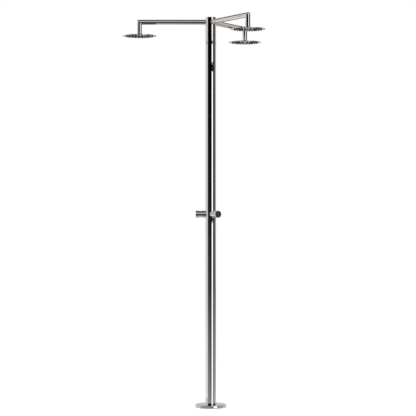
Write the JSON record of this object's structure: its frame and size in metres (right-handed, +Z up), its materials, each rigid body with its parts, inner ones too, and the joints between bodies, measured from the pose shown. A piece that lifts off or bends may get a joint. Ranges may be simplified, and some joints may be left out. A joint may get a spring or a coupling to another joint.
{
  "type": "outdoor shower post",
  "caption": "Tall round outdoor shower post with mitred overhead arms, thin ball-jointed roses, quarter-turn side valves and a round base cover over its fixing flange.",
  "frame": {"origin": "on the floor at the post's axis, centre of the anchor holes", "axes": "+Z up the post, -X along the left arm, +Y away from the picture's camera"},
  "size_m": [0.83, 0.9274, 2.3],
  "materials": {
    "polished_stainless": "polished",
    "plain_stainless": "satin",
    "brass": "satin",
    "nozzle_rubber": "matte",
    "seat_plastic": "matte",
    "black_steel": "satin"
  },
  "bodies": {
    "post": {"mounting_flange": "plain_stainless", "post_tube": "polished_stainless", "post_cap": "polished_stainless", "inlet_socket": "brass", "riser_tube": "plain_stainless", "valve_body": "brass", "cartridge_lock_nuts": "brass", "swivel_nuts": "polished_stainless", "drop_nipples": "brass", "arm_left": "polished_stainless", "supply_tube_left": "plain_stainless", "valve_sleeve_left": "polished_stainless", "valve_cartridge_left": "brass", "arm_front": "polished_stainless", "supply_tube_front": "plain_stainless", "valve_sleeve_front": "polished_stainless", "valve_cartridge_front": "brass", "arm_rear": "polished_stainless", "supply_tube_rear": "plain_stainless", "valve_sleeve_rear": "polished_stainless", "valve_cartridge_rear": "brass"},
    "base_cover": {"base_cover": "polished_stainless"},
    "knob_left": {"valve_handle_left": "polished_stainless", "valve_spindle_left": "brass", "grub_screw_left": "black_steel"},
    "swivel_left": {"seat_ring_left": "seat_plastic"},
    "rose_left": {"rose_back_left": "polished_stainless", "rose_plate_left": "polished_stainless", "rose_nozzles_left": "nozzle_rubber"},
    "knob_front": {"valve_handle_front": "polished_stainless", "valve_spindle_front": "brass", "grub_screw_front": "black_steel"},
    "swivel_front": {"seat_ring_front": "seat_plastic"},
    "rose_front": {"rose_back_front": "polished_stainless", "rose_plate_front": "polished_stainless", "rose_nozzles_front": "nozzle_rubber"},
    "knob_rear": {"valve_handle_rear": "polished_stainless", "valve_spindle_rear": "brass", "grub_screw_rear": "black_steel"},
    "swivel_rear": {"seat_ring_rear": "seat_plastic"},
    "rose_rear": {"rose_back_rear": "polished_stainless", "rose_plate_rear": "polished_stainless", "rose_nozzles_rear": "nozzle_rubber"}
  },
  "joints": [
    {"name": "base_cover_slide", "type": "slide", "parent": "post", "child": "base_cover", "axis": [0, 0, 1], "range_m": [0, 0.15]},
    {"name": "knob_left_turn", "type": "hinge", "parent": "post", "child": "knob_left", "pos_m": [-0.061, 0, 1.1385], "axis": [-1, 0, 0], "range_deg": [0, 90]},
    {"name": "rose_left_turn", "type": "hinge", "parent": "post", "child": "swivel_left", "pos_m": [-0.42, 0, 2.209], "axis": [0, 0, 1], "continuous": true},
    {"name": "rose_left_tilt", "type": "hinge", "parent": "swivel_left", "child": "rose_left", "pos_m": [-0.42, 0, 2.209], "axis": [0, -1, 0], "range_deg": [-15, 15]},
    {"name": "knob_front_turn", "type": "hinge", "parent": "post", "child": "knob_front", "pos_m": [0.0305, -0.05283, 1.1385], "axis": [0.5, -0.866, 0], "range_deg": [0, 90]},
    {"name": "rose_front_turn", "type": "hinge", "parent": "post", "child": "swivel_front", "pos_m": [0.21, -0.36373, 2.209], "axis": [0, 0, 1], "continuous": true},
    {"name": "rose_front_tilt", "type": "hinge", "parent": "swivel_front", "child": "rose_front", "pos_m": [0.21, -0.36373, 2.209], "axis": [0.866, 0.5, 0], "range_deg": [-15, 15]},
    {"name": "knob_rear_turn", "type": "hinge", "parent": "post", "child": "knob_rear", "pos_m": [0.0305, 0.05283, 1.1385], "axis": [0.5, 0.866, 0], "range_deg": [0, 90]},
    {"name": "rose_rear_turn", "type": "hinge", "parent": "post", "child": "swivel_rear", "pos_m": [0.21, 0.36373, 2.209], "axis": [0, 0, 1], "continuous": true},
    {"name": "rose_rear_tilt", "type": "hinge", "parent": "swivel_rear", "child": "rose_rear", "pos_m": [0.21, 0.36373, 2.209], "axis": [-0.866, 0.5, 0], "range_deg": [-15, 15]}
  ]
}
